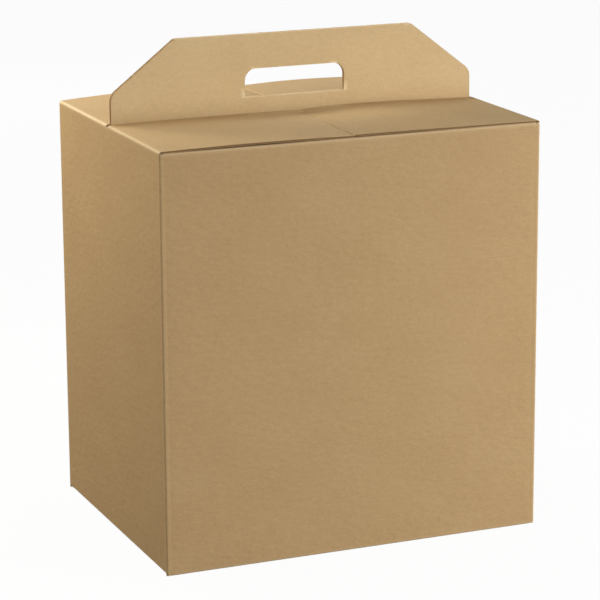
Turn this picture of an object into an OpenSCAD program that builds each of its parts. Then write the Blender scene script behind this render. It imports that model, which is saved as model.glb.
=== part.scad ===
/* [Box] */
// Width of the box across its front
box_w = 340; // [280:1:420]
// Depth of the box from front to rear
box_d = 260; // [200:1:340]
// Height from the base to the fold at the top of the walls
wall_h = 355; // [220:1:450]

/* [Board] */
// Thickness of the corrugated board
board_t = 1.6; // [1.2:0.1:2.4]
// Radius on the inside of a fold
bend_r = 0.4; // [0.2:0.1:1.5]
// Height of the slot that ends at each corner of the walls
corner_slot = 0.8; // [0.4:0.1:2]
// Distance from the end of a corner fold to the side edge of the flap beside it
flap_setback = 0.1; // [0:0.1:8]

/* [Handle] */
// Height of the handle above the walls
handle_h = 70.5; // [60:0.5:110]
// Height of the upright ends of the handle
handle_end_h = 26; // [14:0.5:40]
// Length of the level edge along the top of the handle
handle_top_w = 218; // [140:1:240]
// Radius where an upright end meets the slope
shoulder_r = 12; // [2:0.5:20]
// Radius where the slope meets the level top edge
crown_r = 7; // [2:0.5:20]
// Gap between the front and the rear panel of the handle
panel_gap = 1; // [0.4:0.1:4]

/* [Hand hole] */
// Width of the hand hole
hole_w = 92; // [70:1:110]
// Height of the hand hole
hole_h = 24; // [18:0.5:32]
// Height of the lower edge of the hand hole above the walls
hole_lift = 16.5; // [8:0.5:22]
// Radius of the two upper corners of the hand hole
hole_r = 10; // [2:0.5:15]

/* [Outer top flaps] */
// Gap between the left and right flaps along the middle of the top
seam_gap = 0.6; // [0.4:0.1:4]
// Clearance between each flap and the handle that stands in its slit
slit_clear = 0.5; // [0.3:0.1:4]
// Distance from the front or rear face to the nearest edge of a flap
flap_end_inset = 0.8; // [0.3:0.1:4]
// Distance that the seam strays to the right beside the handle
seam_stray = 4; // [0:0.1:8]
// Height that the middle of the front left flap bows up
front_left_bow = 1; // [0:0.1:8]
// Height that the middle of the front right flap bows up
front_right_bow = 1.8; // [0:0.1:8]
// Height that the middle of the rear left flap bows up
rear_left_bow = 3.8; // [0:0.1:8]
// Height that the middle of the rear right flap bows up
rear_right_bow = 3.2; // [0:0.1:8]

/* [Bottom] */
// Gap between the two outer bottom flaps
bottom_seam = 1; // [0.4:0.1:6]
// Distance that each inner bottom flap reaches in from the side wall
bottom_inner_reach = 128; // [60:1:130]

/* [Glued corner] */
// Distance from the rear face to the cut end of the left wall
joint_setback = 0.5; // [0.2:0.1:3]
// Width of the glue tab inside the rear left corner
tab_w = 30; // [20:1:45]
// Distance from each end of the walls to the glue tab
tab_end_gap = 12; // [8:1:30]
// Height of the sloped cut at each end of the glue tab
tab_taper = 12; // [4:1:30]

/* [Hidden] */
// Colour of the bare kraft board
kraft = [0.75, 0.61, 0.44];
// Outer radius of a fold
fold_r = bend_r + board_t;
// Distance from a wall's outside to the side edge of a flap that folds in behind it
flap_inset = board_t + fold_r + flap_setback;
// Distance from the middle plane to the outer face of a handle panel
handle_half_t = panel_gap / 2 + board_t;
// Half the width of the front and rear strips, from bottom flap to handle
strip_half_w = box_w / 2 - flap_inset;
// Half the width of the side strips, from bottom flap to top edge
side_strip_half_w = box_d / 2 - flap_inset;
// Distance from a side wall's outside to the free edge of its top flaps, at their outer end
flap_reach = box_w / 2 - seam_gap / 2;
// Width of a top flap along its fold
flap_span = box_d / 2 - flap_end_inset - handle_half_t - slit_clear;
// Distance that a corner fold runs along each of its walls
corner_leg = 2 * flap_inset;
// Height of a corner fold
corner_h = wall_h - 2 * corner_slot;
// Length by which a cutting shape runs past what it cuts
over = 1;
// Straight pieces that stand for a quarter turn of a fold
fold_steps = 8;
// Straight pieces that stand for the bow of a flap
bow_steps = 24;
// Straight pieces that stand for a rounded corner of the handle
round_steps = 10;

// Points on an arc about c from angle a0 to angle a1
function arc(c, r, a0, a1, steps) =
    [for (i = [0:steps]) let (a = a0 + (a1 - a0) * i / steps) c + r * [cos(a), sin(a)]];

// Points that round the corner at p, between the points before and after it
function rounded(before, p, after, r) =
    let (u = (before - p) / norm(before - p))
    let (v = (after - p) / norm(after - p))
    let (half = acos(u * v) / 2)
    let (c = p + (u + v) / norm(u + v) * r / sin(half))
    let (foot_u = p + u * r / tan(half) - c)
    let (foot_v = p + v * r / tan(half) - c)
    let (a0 = atan2(foot_u[1], foot_u[0]))
    let (turn = atan2(foot_v[1], foot_v[0]) - a0)
    let (a1 = a0 + turn - 360 * round(turn / 360))
    arc(c, r, a0, a1, round_steps);

// Section of a front or rear strip, from the face of the wall (0) inward
// and from the base (0) up: bottom flap, wall, inner top flap and handle panel
function strip_section(panel_inner, bottom_end) =
    let (panel_outer = panel_inner - board_t)
    let (top = wall_h + handle_h)
    concat(
        [[bottom_end, 0]],
        arc([fold_r, fold_r], fold_r, 270, 180, fold_steps),
        arc([fold_r, wall_h - fold_r], fold_r, 180, 90, fold_steps),
        arc([panel_outer - bend_r, wall_h + bend_r], bend_r, 270, 360, fold_steps),
        [[panel_outer, top], [panel_inner, top]],
        arc([panel_inner - fold_r, wall_h - board_t + fold_r], fold_r, 360, 270, fold_steps),
        arc([fold_r, wall_h - fold_r], bend_r, 90, 180, fold_steps),
        arc([fold_r, fold_r], bend_r, 180, 270, fold_steps),
        [[bottom_end, board_t]]
    );

// Section of a side strip, from the face of the wall (0) inward
// and from the base (0) up: inner bottom flap and wall
function side_section() =
    concat(
        [[bottom_inner_reach, board_t]],
        arc([fold_r, board_t + fold_r], fold_r, 270, 180, fold_steps),
        [[0, wall_h], [board_t, wall_h]],
        arc([fold_r, board_t + fold_r], bend_r, 180, 270, fold_steps),
        [[bottom_inner_reach, 2 * board_t]]
    );

// Section of an outer top flap that bows up, from its fold (0) to its free edge
function flap_section(bow, reach) =
    let (bowed = [for (i = [0:bow_steps]) [
        board_t + (reach - board_t) * i / bow_steps,
        bow * sin(180 * i / bow_steps)
    ]])
    concat(
        [[0, 0]],
        arc([board_t, 0], board_t, 180, 90, fold_steps),
        [for (i = [1:bow_steps]) bowed[i] + [0, board_t]],
        [for (i = [bow_steps:-1:0]) bowed[i]]
    );

// Right half of the outline of the front strip, from the base to the top of the handle
function half_outline() =
    let (foot = [strip_half_w, 0])
    let (shoulder = [strip_half_w, wall_h + handle_end_h])
    let (crown = [handle_top_w / 2, wall_h + handle_h])
    let (middle = [0, wall_h + handle_h])
    concat(
        [foot],
        rounded(foot, shoulder, crown, shoulder_r),
        rounded(shoulder, crown, middle, crown_r)
    );

// Whole outline of the front strip, seen from the front
function strip_outline() =
    let (right = half_outline())
    let (left = [for (i = [len(right) - 1:-1:0]) [-right[i][0], right[i][1]]])
    concat(right, left);

// Outline of the hand hole, square below and rounded above
function hole_outline() =
    let (low = wall_h + hole_lift)
    let (high = low + hole_h)
    concat(
        [[-hole_w / 2, low], [hole_w / 2, low]],
        arc([hole_w / 2 - hole_r, high - hole_r], hole_r, 0, 90, round_steps),
        arc([hole_r - hole_w / 2, high - hole_r], hole_r, 90, 180, round_steps)
    );

// Section of a corner fold, from the outer faces of its two walls (0, 0) inward
function corner_section() =
    concat(
        [[corner_leg, 0]],
        arc([fold_r, fold_r], fold_r, 270, 180, fold_steps),
        [[0, corner_leg], [board_t, corner_leg]],
        arc([fold_r, fold_r], bend_r, 180, 270, fold_steps),
        [[corner_leg, board_t]]
    );

// Upright fold at the front left corner, with its left face at a distance from the box's left face
module corner_fold(from_left) {
    translate([from_left - box_w / 2, -box_d / 2, corner_slot])
        linear_extrude(corner_h)
            polygon(corner_section());
}

// Rear left corner: the rear wall folds into the glue tab inside the cut end of the left wall
module glued_corner() {
    mirror([0, 1, 0]) corner_fold(board_t);
    translate([-box_w / 2, box_d / 2 - corner_leg, corner_slot])
        cube([board_t, corner_leg - joint_setback, corner_h]);
    glue_tab();
}

// Front strip: outer bottom flap, front wall, inner top flap and handle panel
module front_strip() {
    panel_inner = box_d / 2 - panel_gap / 2;
    bottom_end = box_d / 2 - bottom_seam / 2;
    intersection() {
        translate([-strip_half_w, -box_d / 2, 0])
            rotate([90, 0, 90])
                linear_extrude(2 * strip_half_w)
                    polygon(strip_section(panel_inner, bottom_end));
        rotate([90, 0, 0])
            linear_extrude(box_d + over, center = true)
                difference() {
                    polygon(strip_outline());
                    polygon(hole_outline());
                }
    }
}

// Left strip: inner bottom flap and side wall
module left_strip() {
    translate([-box_w / 2, side_strip_half_w, 0])
        rotate([90, 0, 0])
            linear_extrude(2 * side_strip_half_w)
                polygon(side_section());
}

// Glue tab, flat against the inside of the left wall
module glue_tab() {
    low = tab_end_gap;
    high = wall_h - tab_end_gap;
    translate([board_t - box_w / 2, box_d / 2 - fold_r, 0])
        rotate([90, 0, 90])
            linear_extrude(board_t)
                polygon([[0, low], [0, high], [-tab_w, high - tab_taper], [-tab_w, low + tab_taper]]);
}

// The folded and glued sheet with the two handle panels, apart from its outer top flaps
module carton() {
    color(kraft)
        union() {
            corner_fold(0);
            mirror([1, 0, 0]) corner_fold(0);
            rotate([0, 0, 180]) corner_fold(0);
            glued_corner();
            front_strip();
            mirror([0, 1, 0]) front_strip();
            left_strip();
            mirror([1, 0, 0]) left_strip();
        }
}

// Outer top flap on the front left of the box, closed, whose free edge strays outward
// by a distance beside the handle
module outer_flap(bow, stray) {
    reach = flap_reach + max(stray, 0);
    color(kraft)
        translate([-box_w / 2, -handle_half_t - slit_clear, wall_h])
            intersection() {
                rotate([90, 0, 0])
                    linear_extrude(flap_span)
                        polygon(flap_section(bow, reach));
                translate([0, 0, -over])
                    linear_extrude(board_t + bow + 2 * over)
                        polygon([
                            [-over, 0],
                            [flap_reach + stray, 0],
                            [flap_reach, -flap_span],
                            [-over, -flap_span]
                        ]);
            }
}

module front_left_flap() {
    outer_flap(front_left_bow, seam_stray);
}

module rear_left_flap() {
    mirror([0, 1, 0]) outer_flap(rear_left_bow, seam_stray);
}

module front_right_flap() {
    mirror([1, 0, 0]) outer_flap(front_right_bow, -seam_stray);
}

module rear_right_flap() {
    rotate([0, 0, 180]) outer_flap(rear_right_bow, -seam_stray);
}

carton();
front_left_flap();
rear_left_flap();
front_right_flap();
rear_right_flap();
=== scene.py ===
import math

import bmesh
import bpy
import numpy as np
from mathutils import Matrix, Vector
from mathutils.geometry import delaunay_2d_cdt


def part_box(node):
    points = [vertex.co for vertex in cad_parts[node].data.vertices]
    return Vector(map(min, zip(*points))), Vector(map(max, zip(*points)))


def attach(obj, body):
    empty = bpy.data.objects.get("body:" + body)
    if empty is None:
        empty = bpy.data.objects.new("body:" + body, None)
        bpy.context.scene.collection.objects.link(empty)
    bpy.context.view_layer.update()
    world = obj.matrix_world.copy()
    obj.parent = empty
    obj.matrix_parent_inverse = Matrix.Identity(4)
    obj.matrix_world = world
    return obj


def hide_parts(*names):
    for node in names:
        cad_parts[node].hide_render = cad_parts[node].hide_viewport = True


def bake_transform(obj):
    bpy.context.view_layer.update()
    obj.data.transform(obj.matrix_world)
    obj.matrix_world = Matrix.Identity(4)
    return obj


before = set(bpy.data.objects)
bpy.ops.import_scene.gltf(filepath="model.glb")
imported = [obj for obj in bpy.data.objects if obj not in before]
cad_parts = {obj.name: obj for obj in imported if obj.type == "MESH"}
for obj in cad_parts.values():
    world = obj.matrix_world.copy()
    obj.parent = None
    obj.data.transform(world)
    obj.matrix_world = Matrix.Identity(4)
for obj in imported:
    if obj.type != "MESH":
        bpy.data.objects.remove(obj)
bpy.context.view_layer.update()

# Meshes are worked out in millimetres, and turned into metres when they are made
MM = 0.001

# Sizes that the frame gives
HALF_W, HALF_D, HANDLE_TOP = (round(size / MM, 2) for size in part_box("carton")[1])
WALL_H = round(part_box("front_left_flap")[0].z / MM, 2)

# Board and its folds
BOARD = 1.6
BEND_R = 0.4
FOLD_R = 1.75
FLAP_FOLD_R = 2.2
FOLD_STEPS = 8

# Cut edges: open flutes across the board, a plain crushed edge along it
LINER = 0.26
MEDIUM = 0.2
FLUTE_PITCH = 2.33
FLUTE_RECESS = 1.0
PLAIN_RECESS = 0.12
MEDIUM_SETBACK = 0.06
SEGMENTS_PER_FLUTE = 12
FLUTED_SLOPE = 0.35
CRUSH_DEPTH = 0.22
CRUSH_REACH = 2.4
CRUSH_ROWS = (0.6, 1.3, 2.4)

# Grid of the sheet: its spacing, the lines beside a fold and how close points may come
GRID = 9.0
UPRIGHT_MARGINS = (0.6, 1.1, 1.7, 2.4, 3.1, 5)
LEVEL_MARGINS = (0.8, 2.5)
CLEAR_OF_EDGE = 0.4
SAME_POINT = 0.002
TOUCH = 0.01

# Material numbers on a sheet, and the least angle of a hard edge in degrees
LINER_FACE = 0
CUT = 1
SHARP_ANGLE = 40

# Distance on the UV map from the outer liner's pattern to the inner liner's
INNER_SHIFT = 5000.0

# Paper paler at the folds and cut edges, partly rubbed paper and partly painted highlight where they
# face the light: how far it reaches and how strong it is
WEAR_AND_HIGHLIGHT_REACH = 1.9
EDGE_REACH = 0.5
STRIP_WEAR_AND_HIGHLIGHT = 0.45
UPRIGHT_WEAR_AND_HIGHLIGHT = 0.2
BASE_WEAR = 0.3
EDGE_WEAR_AND_HIGHLIGHT = 0.25
CUT_WEAR_AND_HIGHLIGHT = 0.65

# Colour of the rubbed paper and painted highlight, and the least share of it where the mark is full
WORN_AND_HIGHLIT_PAPER = (238, 215, 176)
WORN_AND_HIGHLIT_SHARE = 0.3

# The paper's dark, middle and light tones, on its faces and on its cut edges
FACE_TONES = ((166, 133, 90), (190, 158, 113), (208, 179, 136))
CUT_TONES = ((158, 124, 84), (188, 154, 110), (210, 178, 136))

# Patterns in the paper: features per metre, detail and stretch
CLOUDS = (22, 3, (0.7, 1))
COCKLE = (150, 2, (0.6, 1))
MOTTLE = (270, 3, (0.5, 1))
FIBRES = (1000, 3, (0.35, 1))
GRAIN = (4200, 2, (1, 1))

# Flecks in the paper: cells per metre, share of the cells that have one, and stretch
DARK_FLECKS = (420, 0.1, (0.6, 1))
PALE_FLECKS = (610, 0.08, (0.5, 1))

# The paper's gloss, and its relief with the flutes showing faintly through the faces
ROUGHNESS = 0.34
SPECULAR = 0.35
BUMP_STRENGTH = 0.6
BUMP_DEPTH = 0.0005
WASHBOARD = 0.015

# Bottom flaps, slots and the glued corner
SLOT = 0.4
STRIP_INSET = 3.7
BOTTOM_REACH = 128.0
BOTTOM_SEAM = 1.0
JOINT_SETBACK = 0.5
TAB_W = 30.0
TAB_END_GAP = 12.0
TAB_TAPER = 12.0

# Handle and hand hole
PANEL_OUTER = 2.1
HANDLE_END_H = 26.0
HANDLE_TOP_W = 218.0
SHOULDER_R = 12.0
CROWN_R = 7.0
HOLE_W = 92.0
HOLE_H = 24.0
HOLE_LIFT = 16.5
HOLE_R = 10.0
ARC_STEPS = 10

# Outer top flaps
FLAP_TOP = WALL_H + BOARD
FLAP_NEAR = 2.6
FLAP_FAR = HALF_D - 0.8
FLAP_REACH = HALF_W - 0.1
SEAM_STRAY = 4.0
FLAP_CORNER_R = 1.2
FLAP_CORNER_STEPS = 4
FLAP_GRID = 6.0
FLAP_MARGINS = (0.7, 2, 4)

# Where a flap's own mesh takes over from the wall's: its height there, how far it reaches to the
# corner, the height above which it is full width, and the height below which its rim is a seam
WALL_SEAM = WALL_H - 4.0
STRIP_FAR = HALF_D - FOLD_R - 0.1
FLAP_LOW = WALL_H + 0.2
FLAP_LOW_LIMIT = WALL_H + 0.1

# Dip beside a flap's fold: how far it reaches and the length over which it sets in
DIP_REACH = 14
DIP_START = 6

# Creases pressed into the walls beside the upright folds, and unevenness of the walls
SCORE_OFFSET = 4.4
SCORE_WIDTH = 0.8
SCORE_DEPTH = 0.1
SCORE_FADE = 10
SCORE_GAPS = (4, 2)
WALL_WAVE = 0.3
WAVE_FADE = 60
WAVE_GAPS = (10, 6)
CORNER_FLAT = 6
CORNER_FADE = 40

# Length over which a strip's end passes from the strip's own section to the upright wall
CORNER_BLEND = 1.4

# Stations along the unfolded sheet, from the middle of the front wall round to the right
FRONT_LEFT = -HALF_W
FRONT_RIGHT = HALF_W
REAR_RIGHT = HALF_W + 2 * HALF_D
REAR_LEFT = REAR_RIGHT + 2 * HALF_W - BOARD
REAR_MIDDLE = REAR_RIGHT + HALF_W
LEFT_START = -HALF_W - 2 * HALF_D
SIDE_MIDDLE = HALF_W + HALF_D

# Heights along the unfolded sheet, from the base up
HANDLE_FOLD = WALL_H + HALF_D - PANEL_OUTER
HANDLE_SHIFT = HANDLE_FOLD - WALL_H
HANDLE_EDGE = HANDLE_TOP + HANDLE_SHIFT
STRIP_LOW = BOTTOM_SEAM / 2 - HALF_D
SIDE_LOW = BOARD - BOTTOM_REACH

# Floor: its side, its tones for reflected light and for shadows, and its share of plain white
FLOOR_SIZE = 24.0
FLOOR_GREY = 0.3
FLOOR_PALE = 0.9
FLOOR_WHITE = 0.96

# Light from all round, and the colours of light
AMBIENT = 0.12
WHITE = (1.0, 1.0, 1.0)
WARM = (1.0, 0.92, 0.76)
COOL = (0.86, 0.96, 1.0)
DAYLIGHT = (0.58, 0.8, 1.0)

# Softboxes: name, place, target, size, power in watts and colour
SOFTBOXES = [
    ("key", (-0.45, 0.6, 0.65), (0, 0, 0.3), 0.3, 4.2, WARM),
    ("side", (-0.7, 0.0, 0.75), (0, 0, 0.3), 0.4, 1.5, WARM),
    ("fill", (1.5, -1.1, 0.7), (0.1, -0.1, 0.15), 0.6, 13.0, WHITE),
    ("low", (1.3, -1.2, 0.35), (1.1, -1.03, 0), 0.5, 20.5, WHITE),
    ("top", (0, 0.16, 0.9), (0, 0, 0.4), 0.2, 1.2, COOL),
    ("front", (-1.4, -2.1, 1.3), (0, 0, 0.2), 1.2, 12.5, WARM),
    ("rim", (0.3, 2.4, 0.9), (0, 0, 0.4), 1.2, 8.0, WHITE),
]

# The handle's own light, given as a softbox is, then its height and its grid's angle in degrees
HANDLE_LIGHT = ("handle", (0, -0.42, 0.45), (0, 0, 0.396), 0.36, 0.039, DAYLIGHT, 0.08, 6)

# Camera: where it stands and how it is turned about its own axes, in degrees
CAMERA_PLACE = (-0.8693, -2.1005, 0.7647)
CAMERA_HEADING = -22.584
CAMERA_TILT = 75.769
CAMERA_ROLL = -0.35
LENS = 160.8
SENSOR = 36.0


def smooth(t):
    """Rises smoothly from 0 to 1 as t goes from 0 to 1."""
    t = np.clip(t, 0, 1)
    return t * t * (3 - 2 * t)


class FoldedPath:
    """Outer face of a sheet along straight runs joined by rounded right-angle folds.

    A point is given by its station, the distance along the path with sharp corners,
    and by its depth below the outer face.
    """

    def __init__(self, points, start, radii, inward):
        self.points = np.array(points, float)
        runs = np.diff(self.points, axis=0)
        lengths = np.linalg.norm(runs, axis=1)
        self.directions = runs / lengths[:, None]
        self.normals = inward * np.stack([-self.directions[:, 1], self.directions[:, 0]], axis=1)
        self.stations = start + np.concatenate([[0], np.cumsum(lengths)])
        self.radii = radii
        self.inward = inward

    def at(self, station, depth):
        """Plane points at these stations and depths."""
        station, depth = np.broadcast_arrays(np.asarray(station, float), np.asarray(depth, float))
        last = len(self.directions) - 1
        run = np.clip(np.searchsorted(self.stations, station, side="right") - 1, 0, last)
        along = (station - self.stations[run])[..., None] * self.directions[run]
        place = self.points[run] + along + depth[..., None] * self.normals[run]
        for i, radius in enumerate(self.radii, 1):
            inside = np.abs(station - self.stations[i]) < radius
            before, after = self.directions[i - 1], self.directions[i]
            turn = np.sign(before[0] * after[1] - before[1] * after[0])
            side = turn * self.inward
            spoke = -side * self.normals[i - 1]
            centre = self.points[i] - radius * before - radius * spoke
            share = (station[inside] - self.stations[i] + radius) / (2 * radius)
            angle = turn * math.pi / 2 * share
            turned = np.stack([
                spoke[0] * np.cos(angle) - spoke[1] * np.sin(angle),
                spoke[0] * np.sin(angle) + spoke[1] * np.cos(angle),
            ], axis=-1)
            place[inside] = centre + (radius - side * depth[inside])[:, None] * turned
        return place


# Plan of the walls, from the cut end of the left wall round to the glue tab
WALL_PLAN = FoldedPath(
    [
        (-HALF_W, HALF_D),
        (-HALF_W, -HALF_D),
        (HALF_W, -HALF_D),
        (HALF_W, HALF_D),
        (BOARD - HALF_W, HALF_D),
        (BOARD - HALF_W, HALF_D - FOLD_R - TAB_W),
    ],
    LEFT_START, [FOLD_R] * 4, 1,
)

# Section of the front and rear strips, as distance from the wall's face and height
STRIP_SECTION = FoldedPath(
    [
        (-STRIP_LOW, 0),
        (0, 0),
        (0, WALL_H),
        (HALF_D - PANEL_OUTER, WALL_H),
        (HALF_D - PANEL_OUTER, HANDLE_TOP),
    ],
    STRIP_LOW, [FOLD_R, FOLD_R, BEND_R], -1,
)

# Section of the side strips
SIDE_SECTION = FoldedPath([(BOTTOM_REACH, BOARD), (0, BOARD), (0, WALL_H)], SIDE_LOW, [FOLD_R], -1)

# Section of an outer top flap with the top of its wall
FLAP_SECTION = FoldedPath(
    [(0, WALL_SEAM), (0, FLAP_TOP), (2 * HALF_W, FLAP_TOP)], WALL_SEAM, [FLAP_FOLD_R], -1,
)


def arc(centre, radius, start, end, steps):
    """Points on an arc between two angles in degrees."""
    angles = np.radians(np.linspace(start, end, steps + 1))
    return [(centre[0] + radius * math.cos(a), centre[1] + radius * math.sin(a)) for a in angles]


def rounded(before, corner, after, radius, steps):
    """Points that round a corner between the points before and after it."""
    corner = Vector(corner)
    to_before = (Vector(before) - corner).normalized()
    to_after = (Vector(after) - corner).normalized()
    half = to_before.angle(to_after) / 2
    centre = corner + (to_before + to_after).normalized() * radius / math.sin(half)
    foot_before = corner + to_before * radius / math.tan(half) - centre
    foot_after = corner + to_after * radius / math.tan(half) - centre
    start = math.atan2(foot_before.y, foot_before.x)
    turn = math.atan2(foot_after.y, foot_after.x) - start
    turn -= 2 * math.pi * round(turn / (2 * math.pi))
    return arc(centre, radius, math.degrees(start), math.degrees(start + turn), steps)


def handle_outline(middle):
    """Outline of a handle panel about its middle, from its right side over the top to its left."""
    foot = (HALF_W - STRIP_INSET, HANDLE_FOLD)
    shoulder = (HALF_W - STRIP_INSET, HANDLE_FOLD + HANDLE_END_H)
    crown = (HANDLE_TOP_W / 2, HANDLE_EDGE)
    top = (0, HANDLE_EDGE)
    right = rounded(foot, shoulder, crown, SHOULDER_R, ARC_STEPS)
    right += rounded(shoulder, crown, top, CROWN_R, ARC_STEPS)
    left = [(-x, y) for x, y in reversed(right)]
    return [(middle + x, y) for x, y in right + left]


def hole_outline(middle):
    """Outline of the hand hole, square below and rounded above."""
    low = HANDLE_FOLD + HOLE_LIFT
    high = low + HOLE_H
    inner = HOLE_W / 2 - HOLE_R
    points = [(-HOLE_W / 2, low), (HOLE_W / 2, low)]
    points += arc((inner, high - HOLE_R), HOLE_R, 0, 90, ARC_STEPS)
    points += arc((-inner, high - HOLE_R), HOLE_R, 90, 180, ARC_STEPS)
    return [(middle + x, y) for x, y in points]


def side_top(corner):
    """Top of a side wall from a corner fold leftwards, with the tongue between its two flaps."""
    corner_top = WALL_H - SLOT
    offsets = [
        (HALF_D - STRIP_FAR, corner_top),
        (HALF_D - STRIP_FAR, WALL_SEAM),
        (HALF_D - FLAP_NEAR, WALL_SEAM),
        (HALF_D - FLAP_NEAR, WALL_H),
        (HALF_D + FLAP_NEAR, WALL_H),
        (HALF_D + FLAP_NEAR, WALL_SEAM),
        (HALF_D + STRIP_FAR, WALL_SEAM),
        (HALF_D + STRIP_FAR, corner_top),
    ]
    return [(corner - offset, height) for offset, height in offsets]


def carton_outline():
    """Outline of the unfolded sheet without its outer top flaps, anticlockwise."""
    corner_top = WALL_H - SLOT
    left_end = LEFT_START + JOINT_SETBACK
    tab_start = REAR_LEFT + 2 * STRIP_INSET
    tab_end = REAR_LEFT + FOLD_R + TAB_W
    points = [(left_end, SLOT)]
    strips = [
        (LEFT_START, FRONT_LEFT, SIDE_LOW),
        (FRONT_LEFT, FRONT_RIGHT, STRIP_LOW),
        (FRONT_RIGHT, REAR_RIGHT, SIDE_LOW),
        (REAR_RIGHT, REAR_RIGHT + 2 * HALF_W, STRIP_LOW),
    ]
    for start, end, low in strips:
        start += STRIP_INSET
        end -= STRIP_INSET
        points += [(start, SLOT), (start, low), (end, low), (end, SLOT)]
    points += [
        (tab_start, SLOT),
        (tab_start, TAB_END_GAP),
        (tab_end, TAB_END_GAP + TAB_TAPER),
        (tab_end, WALL_H - TAB_END_GAP - TAB_TAPER),
        (tab_start, WALL_H - TAB_END_GAP),
        (tab_start, corner_top),
        (REAR_MIDDLE + HALF_W - STRIP_INSET, corner_top),
    ]
    points += handle_outline(REAR_MIDDLE)
    points += [(REAR_RIGHT + STRIP_INSET, corner_top)]
    points += side_top(REAR_RIGHT)
    points += [(FRONT_RIGHT - STRIP_INSET, corner_top)]
    points += handle_outline(0)
    points += [(FRONT_LEFT + STRIP_INSET, corner_top)]
    points += side_top(FRONT_LEFT)
    points += [(left_end, corner_top)]
    return points


def spread_lines(start, end, extra, spacing):
    """Grid lines from start to end, with the extra ones and no two almost alike."""
    regular = np.linspace(start, end, int((end - start) / spacing) + 1)
    extra = np.unique(np.round(extra, 4))
    gaps = np.abs(regular[:, None] - extra[None, :]).min(axis=1)
    return np.sort(np.concatenate([regular[gaps > spacing / 4], extra]))


def around_fold(station, radius, margins):
    """Lines through a rounded fold and at these distances outside it."""
    lines = list(station + radius * np.linspace(-1, 1, FOLD_STEPS + 1))
    for margin in margins:
        lines += [station - radius - margin, station + radius + margin]
    return lines


def carton_grid():
    """Grid points of the unfolded sheet, close together at the folds and cut edges."""
    stations = []
    for corner in (LEFT_START, FRONT_LEFT, FRONT_RIGHT, REAR_RIGHT, REAR_LEFT):
        stations += around_fold(corner, FOLD_R, UPRIGHT_MARGINS)
    for middle in (0, REAR_MIDDLE):
        for half in (HALF_W - STRIP_INSET, HOLE_W / 2):
            stations += [middle - half, middle + half]
    heights = []
    for fold in (0, BOARD, WALL_H):
        heights += around_fold(fold, FOLD_R, LEVEL_MARGINS)
    heights += around_fold(HANDLE_FOLD, BEND_R, LEVEL_MARGINS)
    heights += [SLOT, WALL_H - SLOT, WALL_SEAM]
    hole_low = HANDLE_FOLD + HOLE_LIFT
    for row in CRUSH_ROWS:
        heights += [HANDLE_EDGE - row, hole_low - row, hole_low + HOLE_H + row]
        heights += [STRIP_LOW + row, SIDE_LOW + row]
    u = spread_lines(LEFT_START, REAR_LEFT + FOLD_R + TAB_W, stations, GRID)
    v = spread_lines(STRIP_LOW, HANDLE_EDGE, heights, GRID)
    return np.stack(np.meshgrid(u, v), axis=-1).reshape(-1, 2)


def distance_to_segments(points, starts, ends):
    """Distance from each point to the nearest of some segments."""
    nearest = np.full(len(points), np.inf)
    for a, b in zip(starts, ends):
        along = b - a
        share = np.clip((points - a) @ along / (along @ along), 0, 1)
        gap = points - a - share[:, None] * along
        nearest = np.minimum(nearest, np.hypot(gap[:, 0], gap[:, 1]))
    return nearest


def inside_loop(points, loop):
    """Whether each point is inside a closed outline."""
    inside = np.zeros(len(points), bool)
    x, y = points.T
    for (ax, ay), (bx, by) in zip(loop, np.roll(loop, -1, axis=0)):
        if ay != by:
            crosses = (ay > y) != (by > y)
            inside ^= crosses & (x < ax + (y - ay) * (bx - ax) / (by - ay))
    return inside


def triangulate(outline, holes, grid):
    """Triangles that fill an outline apart from its holes, on the grid's points."""
    loops = [np.array(loop, float) for loop in [outline] + holes]
    starts = np.concatenate(loops)
    ends = np.concatenate([np.roll(loop, -1, axis=0) for loop in loops])
    gap = distance_to_segments(grid, starts, ends)
    kept = grid[(gap < SAME_POINT / 2) | ((gap > CLEAR_OF_EDGE) & inside_loop(grid, loops[0]))]
    edges = []
    first = 0
    for loop in loops:
        count = len(loop)
        edges += [(first + i, first + (i + 1) % count) for i in range(count)]
        first += count
    points = [Vector(p) for p in np.concatenate([starts, kept])]
    made = delaunay_2d_cdt(points, edges, [], 0, SAME_POINT, False)
    flat = np.array([tuple(p) for p in made[0]])
    triangles = np.array(made[2])
    middles = flat[triangles].mean(axis=1)
    keep = inside_loop(middles, loops[0])
    for hole in loops[1:]:
        keep &= ~inside_loop(middles, hole)
    return flat, triangles[keep]


def boundary_loops(triangles):
    """Closed chains of points along the rim, with the sheet on their left."""
    directed = set()
    for a, b, c in triangles.tolist():
        directed.update([(a, b), (b, c), (c, a)])
    following = {a: b for a, b in directed if (b, a) not in directed}
    loops = []
    while following:
        start, point = following.popitem()
        loop = [start]
        while point != start:
            loop.append(point)
            point = following.pop(point)
        loops.append(np.array(loop))
    return loops


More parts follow.
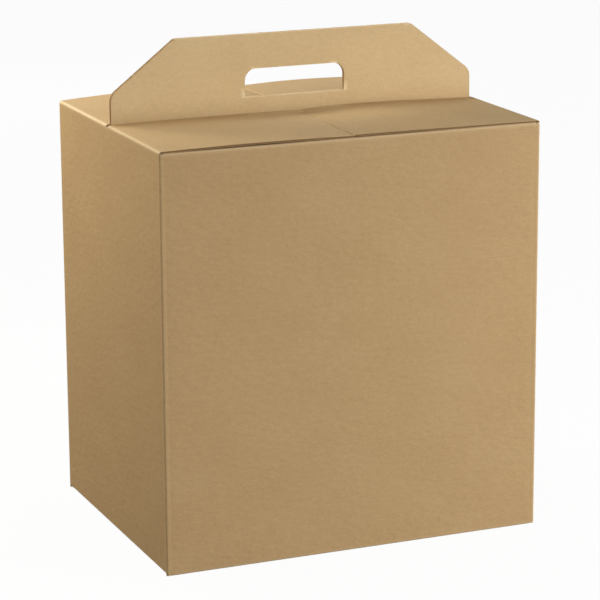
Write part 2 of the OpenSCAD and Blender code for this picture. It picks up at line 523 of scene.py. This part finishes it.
class SheetMesh:
    """Collects points of the unfolded sheet and the faces between them, and folds them up."""

    def __init__(self, place, wear_and_highlight):
        self.place = place
        self.wear_and_highlight = wear_and_highlight
        self.flat = []
        self.edge = []
        self.faces = []
        self.face_materials = []
        self.count = 0

    def add_points(self, flat, depth, edge=0):
        """Adds points at a depth below the outer face, and returns their numbers."""
        depth = np.broadcast_to(depth, (len(flat),))
        self.flat.append(np.column_stack([flat, depth]))
        self.edge.append(np.broadcast_to(edge, (len(flat),)))
        numbers = np.arange(self.count, self.count + len(flat))
        self.count += len(flat)
        return numbers

    def add_faces(self, faces, material):
        """Adds rows of point numbers as faces."""
        self.faces += faces.tolist()
        self.face_materials += [material] * len(faces)

    def loft(self, rows, material):
        """Adds the faces between neighbouring rows, from column to column."""
        for one, two in zip(rows, rows[1:]):
            self.add_faces(np.stack([one[:-1], two[:-1], two[1:], one[1:]], axis=1), material)

    def build(self, name, materials):
        """The folded mesh as an object, with the unfolded place of its points as a UV map."""
        flat = np.concatenate(self.flat)
        mesh = bpy.data.meshes.new(name)
        mesh.from_pydata(self.place(flat[:, 0], flat[:, 1], flat[:, 2]) * MM, [], self.faces)
        mesh.update()
        sheet = mesh.uv_layers.new(name="Sheet")
        corners = np.zeros(len(mesh.loops), np.int32)
        mesh.loops.foreach_get("vertex_index", corners)
        inner = np.where(flat[:, 2] > BOARD / 2, INNER_SHIFT, 0)
        uv = np.column_stack([flat[:, 0] + inner, flat[:, 1]]) * MM
        sheet.data.foreach_set("uv", uv[corners].astype(np.float32).ravel())
        # Paler mark on the outer face at folds and cut edges: partly rubbed paper, partly painted
        # highlight
        worn_and_highlit = mesh.attributes.new("WearAndHighlight", "FLOAT", "POINT")
        amount = self.wear_and_highlight(flat[:, 0], flat[:, 1]) * (flat[:, 2] < BOARD / 2)
        amount = np.maximum(amount, np.concatenate(self.edge))
        worn_and_highlit.data.foreach_set("value", amount.astype(np.float32))
        for material in materials:
            mesh.materials.append(material)
        mesh.polygons.foreach_set("material_index", np.array(self.face_materials, np.int32))
        work = bmesh.new()
        work.from_mesh(mesh)
        bmesh.ops.remove_doubles(work, verts=work.verts, dist=SAME_POINT * MM)
        work.to_mesh(mesh)
        work.free()
        mesh.shade_smooth()
        mesh.set_sharp_from_angle(angle=math.radians(SHARP_ANGLE))
        made = bpy.data.objects.new(name, mesh)
        bpy.context.scene.collection.objects.link(made)
        return made


def unit_rows(rows):
    """Rows scaled to length 1."""
    return rows / np.maximum(np.linalg.norm(rows, axis=1), 1e-12)[:, None]


def rim_facts(loop, is_seam):
    """Edge directions, inward normals and kinds along a closed rim."""
    edges = np.roll(loop, -1, axis=0) - loop
    lengths = np.linalg.norm(edges, axis=1)
    middles = loop + edges / 2
    inward = np.column_stack([-edges[:, 1], edges[:, 0]]) / lengths[:, None]
    mitre = unit_rows(inward + np.roll(inward, 1, axis=0))
    stretch = 1 / np.maximum((mitre * inward).sum(axis=1), 0.5)
    seam = is_seam(middles)
    fluted = (np.abs(edges[:, 1]) > FLUTED_SLOPE * lengths) & ~seam
    return mitre * stretch[:, None], seam, fluted


def closed(rows):
    """A row of point numbers that ends where it starts."""
    return np.append(rows, rows[0])


def add_rim(sheet, loop, crush, is_seam):
    """Closes the rim: liners, the recess between them and the fluted medium."""
    inward, seam, fluted = rim_facts(loop, is_seam)
    deep = fluted & np.roll(fluted, 1)
    plain = ~(seam | np.roll(seam, 1))
    recess = np.where(deep, FLUTE_RECESS, PLAIN_RECESS) * plain
    back = loop + inward * recess[:, None]
    profile = [
        (loop, crush),
        (loop, crush + LINER),
        (back, crush + LINER),
        (back, BOARD - crush - LINER),
        (loop, BOARD - crush - LINER),
        (loop, BOARD - crush),
    ]
    # Plain cut edges painted pale: partly rubbed fibre, partly painted highlight where they face the
    # light
    worn_and_highlit = CUT_WEAR_AND_HIGHLIGHT * plain * ~deep
    rows = [closed(sheet.add_points(points, depth, worn_and_highlit)) for points, depth in profile]
    sheet.loft(rows, CUT)
    for run in fluted_runs(fluted):
        add_medium(sheet, loop, inward, run)


def fluted_runs(fluted):
    """Runs of neighbouring fluted edges round a rim, as lists of edge numbers."""
    count = len(fluted)
    starts = [i for i in range(count) if fluted[i] and not fluted[i - 1]]
    runs = []
    for start in starts:
        run = [start]
        while fluted[(run[-1] + 1) % count] and len(run) < count:
            run.append((run[-1] + 1) % count)
        runs.append(run)
    return runs


def add_medium(sheet, loop, inward, run):
    """The wavy middle ply along a run of cut edges, set back a little from the liners."""
    places, normals, slopes = [], [], []
    for edge in run:
        after = (edge + 1) % len(loop)
        step = loop[after] - loop[edge]
        pieces = max(1, math.ceil(abs(step[1]) * SEGMENTS_PER_FLUTE / FLUTE_PITCH))
        shares = np.arange(pieces + (edge == run[-1])) / pieces
        places.append(loop[edge] + shares[:, None] * step)
        normals.append(inward[edge] + shares[:, None] * (inward[after] - inward[edge]))
        slopes.append(np.full(len(shares), step[1] / np.linalg.norm(step)))
    places, normals = np.concatenate(places), np.concatenate(normals)
    turns = 2 * math.pi / FLUTE_PITCH
    swing = (BOARD - 2 * LINER - MEDIUM) / 2
    wave = BOARD / 2 + swing * np.cos(turns * places[:, 1])
    slope = swing * turns * np.sin(turns * places[:, 1]) * np.concatenate(slopes)
    half = MEDIUM / 2 * np.sqrt(1 + slope ** 2)
    upper = np.maximum(wave - half, LINER)
    lower = np.minimum(wave + half, BOARD - LINER)
    front = places + normals * MEDIUM_SETBACK
    back = places + normals * FLUTE_RECESS
    profile = [(back, upper), (front, upper), (front, lower), (back, lower)]
    sheet.loft([sheet.add_points(points, depth) for points, depth in profile], CUT)


def make_sheet(name, outline, holes, grid, place, wear_and_highlight, is_seam, materials):
    """A folded piece of board, from its outline on the unfolded sheet."""
    flat, triangles = triangulate(outline, holes, grid)
    loops = boundary_loops(triangles)
    starts, ends = [], []
    for loop in loops:
        points = flat[loop]
        _, seam, fluted = rim_facts(points, is_seam)
        crushed = ~(seam | fluted)
        starts.append(points[crushed])
        ends.append(np.roll(points, -1, axis=0)[crushed])
    gap = distance_to_segments(flat, np.concatenate(starts), np.concatenate(ends))
    crush = CRUSH_DEPTH * smooth(1 - gap / CRUSH_REACH)
    sheet = SheetMesh(place, wear_and_highlight)
    # A thin pale line beside crushed edges: partly rubbed paper, partly painted highlight
    edge = EDGE_WEAR_AND_HIGHLIGHT * (gap < EDGE_REACH)
    outer = sheet.add_points(flat, crush, edge)
    inner = sheet.add_points(flat, BOARD - crush, edge)
    sheet.add_faces(outer[triangles], LINER_FACE)
    sheet.add_faces(inner[triangles[:, ::-1]], LINER_FACE)
    for loop in loops:
        add_rim(sheet, flat[loop], crush[loop], is_seam)
    return sheet.build(name, materials)


def corner_distance(u):
    """Distance along the sheet from the nearest upright corner."""
    corners = np.array([LEFT_START, FRONT_LEFT, FRONT_RIGHT, REAR_RIGHT, REAR_LEFT])
    return np.abs(np.asarray(u)[..., None] - corners).min(axis=-1)


def on_side(u):
    """Whether a station is on the left or the right wall."""
    return ((u > LEFT_START - 1) & (u < FRONT_LEFT)) | ((u > FRONT_RIGHT) & (u < REAR_RIGHT))


def between_ends(v, gaps, fade):
    """1 in the middle of a wall's height, fading to 0 at these gaps from its base and its top."""
    low, high = gaps
    return smooth((v - low) / fade) * smooth((WALL_SEAM - high - v) / fade)


def wall_depth(u, v):
    """How far the walls lie in: pressed creases beside the upright folds, and slow waves."""
    away = corner_distance(u)
    upright = between_ends(v, SCORE_GAPS, SCORE_FADE)
    score = SCORE_DEPTH * np.exp(-(((away - SCORE_OFFSET) / SCORE_WIDTH) ** 2)) * upright
    middle = between_ends(v, WAVE_GAPS, WAVE_FADE) * smooth((away - CORNER_FLAT) / CORNER_FADE)
    wave = 1 + 0.5 * np.sin(u / 41 + v / 67) + 0.5 * np.sin(v / 29 - u / 83)
    return score + WALL_WAVE * wave * middle


def place_carton(u, v, depth):
    """Where points of the unfolded sheet are in the glued and folded carton."""
    side = on_side(u)
    section = np.where(side[:, None], SIDE_SECTION.at(v, depth), STRIP_SECTION.at(v, depth))
    reach = np.where(u > REAR_LEFT - STRIP_INSET, STRIP_INSET - BOARD, STRIP_INSET)
    upright = np.where(u > REAR_LEFT, 1, smooth((reach - corner_distance(u)) / CORNER_BLEND))
    section += upright[:, None] * (np.column_stack([depth, v]) - section)
    section[:, 0] += wall_depth(u, v)
    plan = WALL_PLAN.at(u, section[:, 0])
    return np.column_stack([plan, section[:, 1]])


def near(distance):
    """1 at a fold, falling to 0 beside it."""
    return np.exp(-((distance / WEAR_AND_HIGHLIGHT_REACH) ** 2))


def carton_wear_and_highlight(u, v):
    """How pale the folds of the carton are painted, partly rubbed paper and partly painted highlight:
    most along the top, least at the upright corners.
    """
    strip = (~on_side(u)) & (u < REAR_LEFT)
    upright = (v > 0) & (v < WALL_H)
    worn_and_highlit = UPRIGHT_WEAR_AND_HIGHLIGHT * near(corner_distance(u)) * upright
    worn_and_highlit = np.maximum(worn_and_highlit, STRIP_WEAR_AND_HIGHLIGHT * near(v - WALL_H) * strip)
    return np.maximum(worn_and_highlit, BASE_WEAR * near(v - np.where(strip, 0, BOARD)))


def carton_seam(middles):
    """Whether rim edges lie where a flap's own mesh goes on."""
    u, v = middles.T
    between = (v > WALL_SEAM - TOUCH) & (v < WALL_H - TOUCH)
    return on_side(u) & between & (corner_distance(u) > HALF_D - STRIP_FAR - TOUCH)


def carton_piece(materials):
    """The walls, bottom flaps, inner top flaps, handle panels and glue tab, as one folded sheet."""
    holes = [hole_outline(0), hole_outline(REAR_MIDDLE)]
    made = make_sheet(
        "folded_carton", carton_outline(), holes, carton_grid(),
        place_carton, carton_wear_and_highlight, carton_seam, materials,
    )
    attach(made, "carton")
    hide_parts("carton")


class FlapShape:
    """How one outer top flap lies: its side and end of the box, and its height along and across."""

    def __init__(self, node, side, end, bows, peak, lifts, fold_dip, fold_wear_and_highlight):
        self.node = node
        self.fold_wear_and_highlight = fold_wear_and_highlight
        self.side = side
        self.end = end
        self.handle_bow, self.edge_bow = bows
        self.peak = peak
        self.handle_lift, self.corner_lift = lifts
        self.fold_dip = fold_dip
        self.stray = -side * SEAM_STRAY

    def free_edge(self, away):
        """Distance from the wall to the free edge, at a distance from the middle plane."""
        share = (FLAP_FAR - away) / (FLAP_FAR - FLAP_NEAR)
        return FLAP_REACH + self.stray * share

    def height(self, along, away):
        """Height of the flap above its level place."""
        share = np.clip((along - BOARD) / (FLAP_REACH - BOARD), 0, 1)
        outer = (away - FLAP_NEAR) / (FLAP_FAR - FLAP_NEAR)
        bow = self.handle_bow + (self.edge_bow - self.handle_bow) * smooth(outer)
        rise = bow * np.sin(math.pi * share ** self.peak)
        rise += smooth(share * 1.5 - 0.5) * (self.corner_lift * outer + self.handle_lift * (1 - outer))
        rise -= self.fold_dip * np.exp(-along / DIP_REACH) * smooth(along / DIP_START)
        return rise

    def wear_and_highlight(self, u, v):
        """How pale the flap is painted, partly rubbed paper and partly painted highlight: most where it
        folds.
        """
        return self.fold_wear_and_highlight * near(v - FLAP_TOP)

    def place(self, u, v, depth):
        """Where points of the unfolded sheet are on the closed flap."""
        along, z = FLAP_SECTION.at(v, depth).T
        y = self.side * u - SIDE_MIDDLE
        x = self.side * (HALF_W - along)
        return np.column_stack([x, y, z + self.height(along, np.abs(y))])

    def station(self, away):
        """Station along the sheet at a distance from the middle plane."""
        return self.side * (SIDE_MIDDLE + self.end * np.asarray(away))

    def outline(self):
        """Outline on the unfolded sheet, anticlockwise."""
        far_corner = (FLAP_FAR, FLAP_TOP + FLAP_REACH)
        near_corner = (FLAP_NEAR, FLAP_TOP + self.free_edge(FLAP_NEAR))
        points = [(FLAP_NEAR, WALL_SEAM), (STRIP_FAR, WALL_SEAM)]
        points += [(STRIP_FAR, FLAP_LOW), (FLAP_FAR, FLAP_LOW)]
        rounding = (FLAP_CORNER_R, FLAP_CORNER_STEPS)
        points += rounded((FLAP_FAR, FLAP_LOW), far_corner, near_corner, *rounding)
        points += rounded(far_corner, near_corner, (FLAP_NEAR, WALL_SEAM), *rounding)
        if self.side * self.end < 0:
            points.reverse()
        return [(float(self.station(away)), height) for away, height in points]

    def grid(self):
        """Grid points on the unfolded sheet, in rows that follow the slant of the free edge."""
        fold = around_fold(FLAP_TOP, FLAP_FOLD_R, FLAP_MARGINS) + [FLAP_LOW, WALL_SEAM]
        away = spread_lines(FLAP_NEAR, FLAP_FAR, [FLAP_NEAR, STRIP_FAR, FLAP_FAR], FLAP_GRID)
        level = FLAP_TOP + FLAP_FOLD_R + FLAP_MARGINS[-1]
        reach = FLAP_TOP + self.free_edge(away) - level
        shares = np.linspace(0, 1, int(FLAP_REACH / FLAP_GRID))[1:-1]
        rows = [np.full(len(away), height) for height in fold if height >= WALL_SEAM]
        rows += [level + share * reach for share in shares]
        rows += [level + reach - row for row in CRUSH_ROWS] + [level + reach]
        return np.concatenate([np.column_stack([self.station(away), row]) for row in rows])

    def seam(self, middles):
        """Whether rim edges lie against the wall's own mesh."""
        return middles[:, 1] < FLAP_LOW_LIMIT

    def piece(self, materials):
        """The flap with its fold and the top of its wall."""
        made = make_sheet(
            self.node + "_board", self.outline(), [], self.grid(),
            self.place, self.wear_and_highlight, self.seam, materials,
        )
        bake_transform(made)
        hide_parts(self.node)


# Side, end, bows at the handle and at the outer edge, place of their peak,
# lifts of the free edge at its two ends, dip at the fold and paleness of the fold, partly rubbed paper
# and partly painted highlight
FLAPS = [
    FlapShape("front_left_flap", -1, -1, (0.9, 1.1), 1.0, (0.3, 0.0), 0.0, 0.7),
    FlapShape("rear_left_flap", -1, 1, (3.8, 3.4), 1.0, (0.1, 0.2), 0.0, 1.0),
    FlapShape("front_right_flap", 1, -1, (2.1, 0.3), 1.5, (0.3, 0.7), 0.6, 0.6),
    FlapShape("rear_right_flap", 1, 1, (2.8, 2.6), 1.2, (1.9, 1.2), 0.5, 0.6),
]


def node_tree(material):
    """The material's empty node tree and its output node."""
    material.use_nodes = True
    tree = material.node_tree
    tree.nodes.clear()
    return tree, tree.nodes.new("ShaderNodeOutputMaterial")


def math_node(tree, operation, one, two, clamp=False):
    """A Math node whose inputs are sockets or numbers."""
    node = tree.nodes.new("ShaderNodeMath")
    node.operation = operation
    node.use_clamp = clamp
    for socket, value in zip(node.inputs, (one, two)):
        if isinstance(value, (int, float)):
            socket.default_value = value
        else:
            tree.links.new(value, socket)
    return node.outputs[0]


def stretched(tree, vector, scale):
    """The sheet's coordinates with a scale along and across it."""
    node = tree.nodes.new("ShaderNodeMapping")
    node.inputs["Scale"].default_value = (scale[0], scale[1], 1)
    tree.links.new(vector, node.inputs["Vector"])
    return node.outputs[0]


def noise(tree, vector, scale, detail, stretch):
    """Noise of about one feature per 1/scale metres, from 0 to 1 about 0.5."""
    node = tree.nodes.new("ShaderNodeTexNoise")
    node.inputs["Scale"].default_value = scale
    node.inputs["Detail"].default_value = detail
    tree.links.new(stretched(tree, vector, stretch), node.inputs["Vector"])
    return node.outputs["Fac"]


def flecks(tree, vector, scale, share, stretch):
    """Small scattered spots: 1 in a spot and 0 outside, in a share of the cells."""
    node = tree.nodes.new("ShaderNodeTexVoronoi")
    node.inputs["Scale"].default_value = scale
    tree.links.new(stretched(tree, vector, stretch), node.inputs["Vector"])
    split = tree.nodes.new("ShaderNodeSeparateColor")
    tree.links.new(node.outputs["Color"], split.inputs[0])
    chosen = math_node(tree, "LESS_THAN", split.outputs[0], share)
    away = math_node(tree, "MULTIPLY", node.outputs["Distance"], 4.0)
    spot = math_node(tree, "SUBTRACT", 1.0, away, True)
    return math_node(tree, "MULTIPLY", spot, chosen)


def weighted(tree, terms):
    """Sum of (socket - 0.5) times weight, with 0.5 added."""
    total = 0.5
    for socket, weight in terms:
        centred = math_node(tree, "SUBTRACT", socket, 0.5)
        total = math_node(tree, "ADD", math_node(tree, "MULTIPLY", centred, weight), total)
    return total


def colour_ramp(tree, factor, stops):
    """A colour for each value of factor, from (place, colour) stops."""
    node = tree.nodes.new("ShaderNodeValToRGB")
    ramp = node.color_ramp
    stops = list(stops)
    while len(ramp.elements) < len(stops):
        ramp.elements.new(0.5)
    for element, (place, colour) in zip(ramp.elements, stops):
        element.position = place
        element.color = (*linear(colour), 1)
    tree.links.new(factor, node.inputs[0])
    return node.outputs[0]


def linear(colour):
    """Linear values of an sRGB colour given as 0 to 255."""
    parts = [c / 255 for c in colour]
    return [c / 12.92 if c <= 0.04045 else ((c + 0.055) / 1.055) ** 2.4 for c in parts]


def worn_and_highlit_colour(tree, colour, fibres):
    """The paper's colour, paler and unevenly so where its mark of rubbed paper and painted highlight is
    above 0.
    """
    worn_and_highlit = tree.nodes.new("ShaderNodeAttribute")
    worn_and_highlit.attribute_name = "WearAndHighlight"
    uneven = math_node(tree, "ADD", math_node(tree, "MULTIPLY", fibres, 1.2), WORN_AND_HIGHLIT_SHARE)
    mix = tree.nodes.new("ShaderNodeMix")
    mix.data_type = "RGBA"
    factor, one, two = mix.inputs[0], mix.inputs[6], mix.inputs[7]
    tree.links.new(math_node(tree, "MULTIPLY", worn_and_highlit.outputs["Fac"], uneven, True), factor)
    tree.links.new(colour, one)
    two.default_value = (*linear(WORN_AND_HIGHLIT_PAPER), 1)
    return mix.outputs[2]


def kraft_material(name, tones, washboard):
    """Unbleached paper: cloudy tone, fibres along the sheet, a few flecks and a fine grain."""
    material = bpy.data.materials.new(name)
    tree, output = node_tree(material)
    shader = tree.nodes.new("ShaderNodeBsdfPrincipled")
    tree.links.new(shader.outputs[0], output.inputs[0])
    sheet = tree.nodes.new("ShaderNodeUVMap")
    sheet.uv_map = "Sheet"
    uv = sheet.outputs[0]
    clouds = noise(tree, uv, *CLOUDS)
    mottle = noise(tree, uv, *MOTTLE)
    fibres = noise(tree, uv, *FIBRES)
    grain = noise(tree, uv, *GRAIN)
    tone = weighted(tree, [(clouds, 0.2), (mottle, 0.2), (fibres, 0.32), (grain, 0.15)])
    dark_flecks = flecks(tree, uv, *DARK_FLECKS)
    tone = math_node(tree, "SUBTRACT", tone, math_node(tree, "MULTIPLY", dark_flecks, 0.2))
    pale_flecks = flecks(tree, uv, *PALE_FLECKS)
    tone = math_node(tree, "ADD", tone, math_node(tree, "MULTIPLY", pale_flecks, 0.15))
    colour = colour_ramp(tree, tone, zip((0.1, 0.5, 0.9), tones))
    tree.links.new(worn_and_highlit_colour(tree, colour, fibres), shader.inputs["Base Color"])
    roughness = weighted(tree, [(mottle, 0.08), (grain, 0.1)])
    tree.links.new(math_node(tree, "ADD", roughness, ROUGHNESS), shader.inputs["Roughness"])
    shader.inputs["Specular IOR Level"].default_value = SPECULAR
    cockle = noise(tree, uv, *COCKLE)
    relief = weighted(tree, [(cockle, 1.4), (mottle, 0.8), (fibres, 0.12), (grain, 0.04)])
    if washboard:
        split = tree.nodes.new("ShaderNodeSeparateXYZ")
        tree.links.new(uv, split.inputs[0])
        turns = 2 * math.pi / (FLUTE_PITCH * MM)
        ripple = math_node(tree, "COSINE", math_node(tree, "MULTIPLY", split.outputs[1], turns), 0)
        relief = math_node(tree, "ADD", relief, math_node(tree, "MULTIPLY", ripple, washboard))
    bump = tree.nodes.new("ShaderNodeBump")
    bump.inputs["Strength"].default_value = BUMP_STRENGTH
    bump.inputs["Distance"].default_value = BUMP_DEPTH
    tree.links.new(relief, bump.inputs["Height"])
    tree.links.new(bump.outputs[0], shader.inputs["Normal"])
    return material


def seen_from_camera(tree):
    """1 for rays from the camera, in a mirror or through glass, and 0 for the rest."""
    path = tree.nodes.new("ShaderNodeLightPath")
    seen = math_node(tree, "ADD", path.outputs["Is Camera Ray"], path.outputs["Is Glossy Ray"], True)
    return math_node(tree, "ADD", seen, path.outputs["Is Transmission Ray"], True)


def mixed(tree, factor, one, two):
    """A Mix Shader node between two shaders."""
    node = tree.nodes.new("ShaderNodeMixShader")
    if isinstance(factor, float):
        node.inputs[0].default_value = factor
    else:
        tree.links.new(factor, node.inputs[0])
    tree.links.new(one, node.inputs[1])
    tree.links.new(two, node.inputs[2])
    return node.outputs[0]


def floor_material():
    """Plain pale floor: white to the camera with a part of its shadow, and light grey to other rays."""
    material = bpy.data.materials.new("pale_floor")
    tree, output = node_tree(material)
    matt = tree.nodes.new("ShaderNodeBsdfDiffuse")
    matt.inputs["Color"].default_value = (FLOOR_GREY, FLOOR_GREY, FLOOR_GREY, 1)
    bright = tree.nodes.new("ShaderNodeBsdfDiffuse")
    bright.inputs["Color"].default_value = (FLOOR_PALE, FLOOR_PALE, FLOOR_PALE, 1)
    white = tree.nodes.new("ShaderNodeEmission")
    shown = mixed(tree, FLOOR_WHITE, bright.outputs[0], white.outputs[0])
    tree.links.new(mixed(tree, seen_from_camera(tree), matt.outputs[0], shown), output.inputs[0])
    return material


def make_floor():
    """A floor that fills the view."""
    mesh = bpy.data.meshes.new("floor")
    half = FLOOR_SIZE / 2
    corners = [(-half, -half, 0), (half, -half, 0), (half, half, 0), (-half, half, 0)]
    mesh.from_pydata(corners, [], [(0, 1, 2, 3)])
    mesh.materials.append(floor_material())
    floor = bpy.data.objects.new("floor", mesh)
    bpy.context.scene.collection.objects.link(floor)


def make_world():
    """A world that the camera sees as white, and that lights the object evenly from all round."""
    world = bpy.data.worlds.new("studio")
    bpy.context.scene.world = world
    world.use_nodes = True
    tree = world.node_tree
    tree.nodes.clear()
    output = tree.nodes.new("ShaderNodeOutputWorld")
    ambient = tree.nodes.new("ShaderNodeBackground")
    ambient.inputs["Color"].default_value = (*WHITE, 1)
    ambient.inputs["Strength"].default_value = AMBIENT
    white = tree.nodes.new("ShaderNodeBackground")
    white.inputs["Color"].default_value = (*WHITE, 1)
    shown = mixed(tree, seen_from_camera(tree), ambient.outputs[0], white.outputs[0])
    tree.links.new(shown, output.inputs[0])


def softbox(name, place, target, size, power, colour):
    """A square area light that points at a target."""
    data = bpy.data.lights.new(name, "AREA")
    data.size = size
    data.energy = power
    data.color = colour
    light = bpy.data.objects.new(name, data)
    light.location = place
    light.rotation_euler = (Vector(target) - Vector(place)).to_track_quat("-Z", "Y").to_euler()
    light.visible_camera = False
    bpy.context.scene.collection.objects.link(light)
    return data


def strip_light(name, place, target, size, power, colour, height, spread):
    """A long area light with a grid, which keeps its beam narrow."""
    data = softbox(name, place, target, size, power, colour)
    data.shape = "RECTANGLE"
    data.size_y = height
    data.spread = math.radians(spread)


def make_camera():
    """The camera at the photograph's viewing angle."""
    data = bpy.data.cameras.new("camera")
    data.lens = LENS
    data.sensor_width = SENSOR
    data.clip_end = 100
    camera = bpy.data.objects.new("camera", data)
    heading = Matrix.Rotation(math.radians(CAMERA_HEADING), 4, "Z")
    tilt = Matrix.Rotation(math.radians(CAMERA_TILT), 4, "X")
    roll = Matrix.Rotation(math.radians(CAMERA_ROLL), 4, "Z")
    camera.matrix_world = Matrix.Translation(CAMERA_PLACE) @ heading @ tilt @ roll
    bpy.context.scene.collection.objects.link(camera)
    bpy.context.scene.camera = camera


bpy.context.scene.view_settings.view_transform = "Standard"
make_camera()
make_world()
make_floor()
for light in SOFTBOXES:
    softbox(*light)
strip_light(*HANDLE_LIGHT)

face = kraft_material("kraft_face", FACE_TONES, WASHBOARD)
cut = kraft_material("kraft_cut", CUT_TONES, 0)
carton_piece([face, cut])
for flap in FLAPS:
    flap.piece([face, cut])
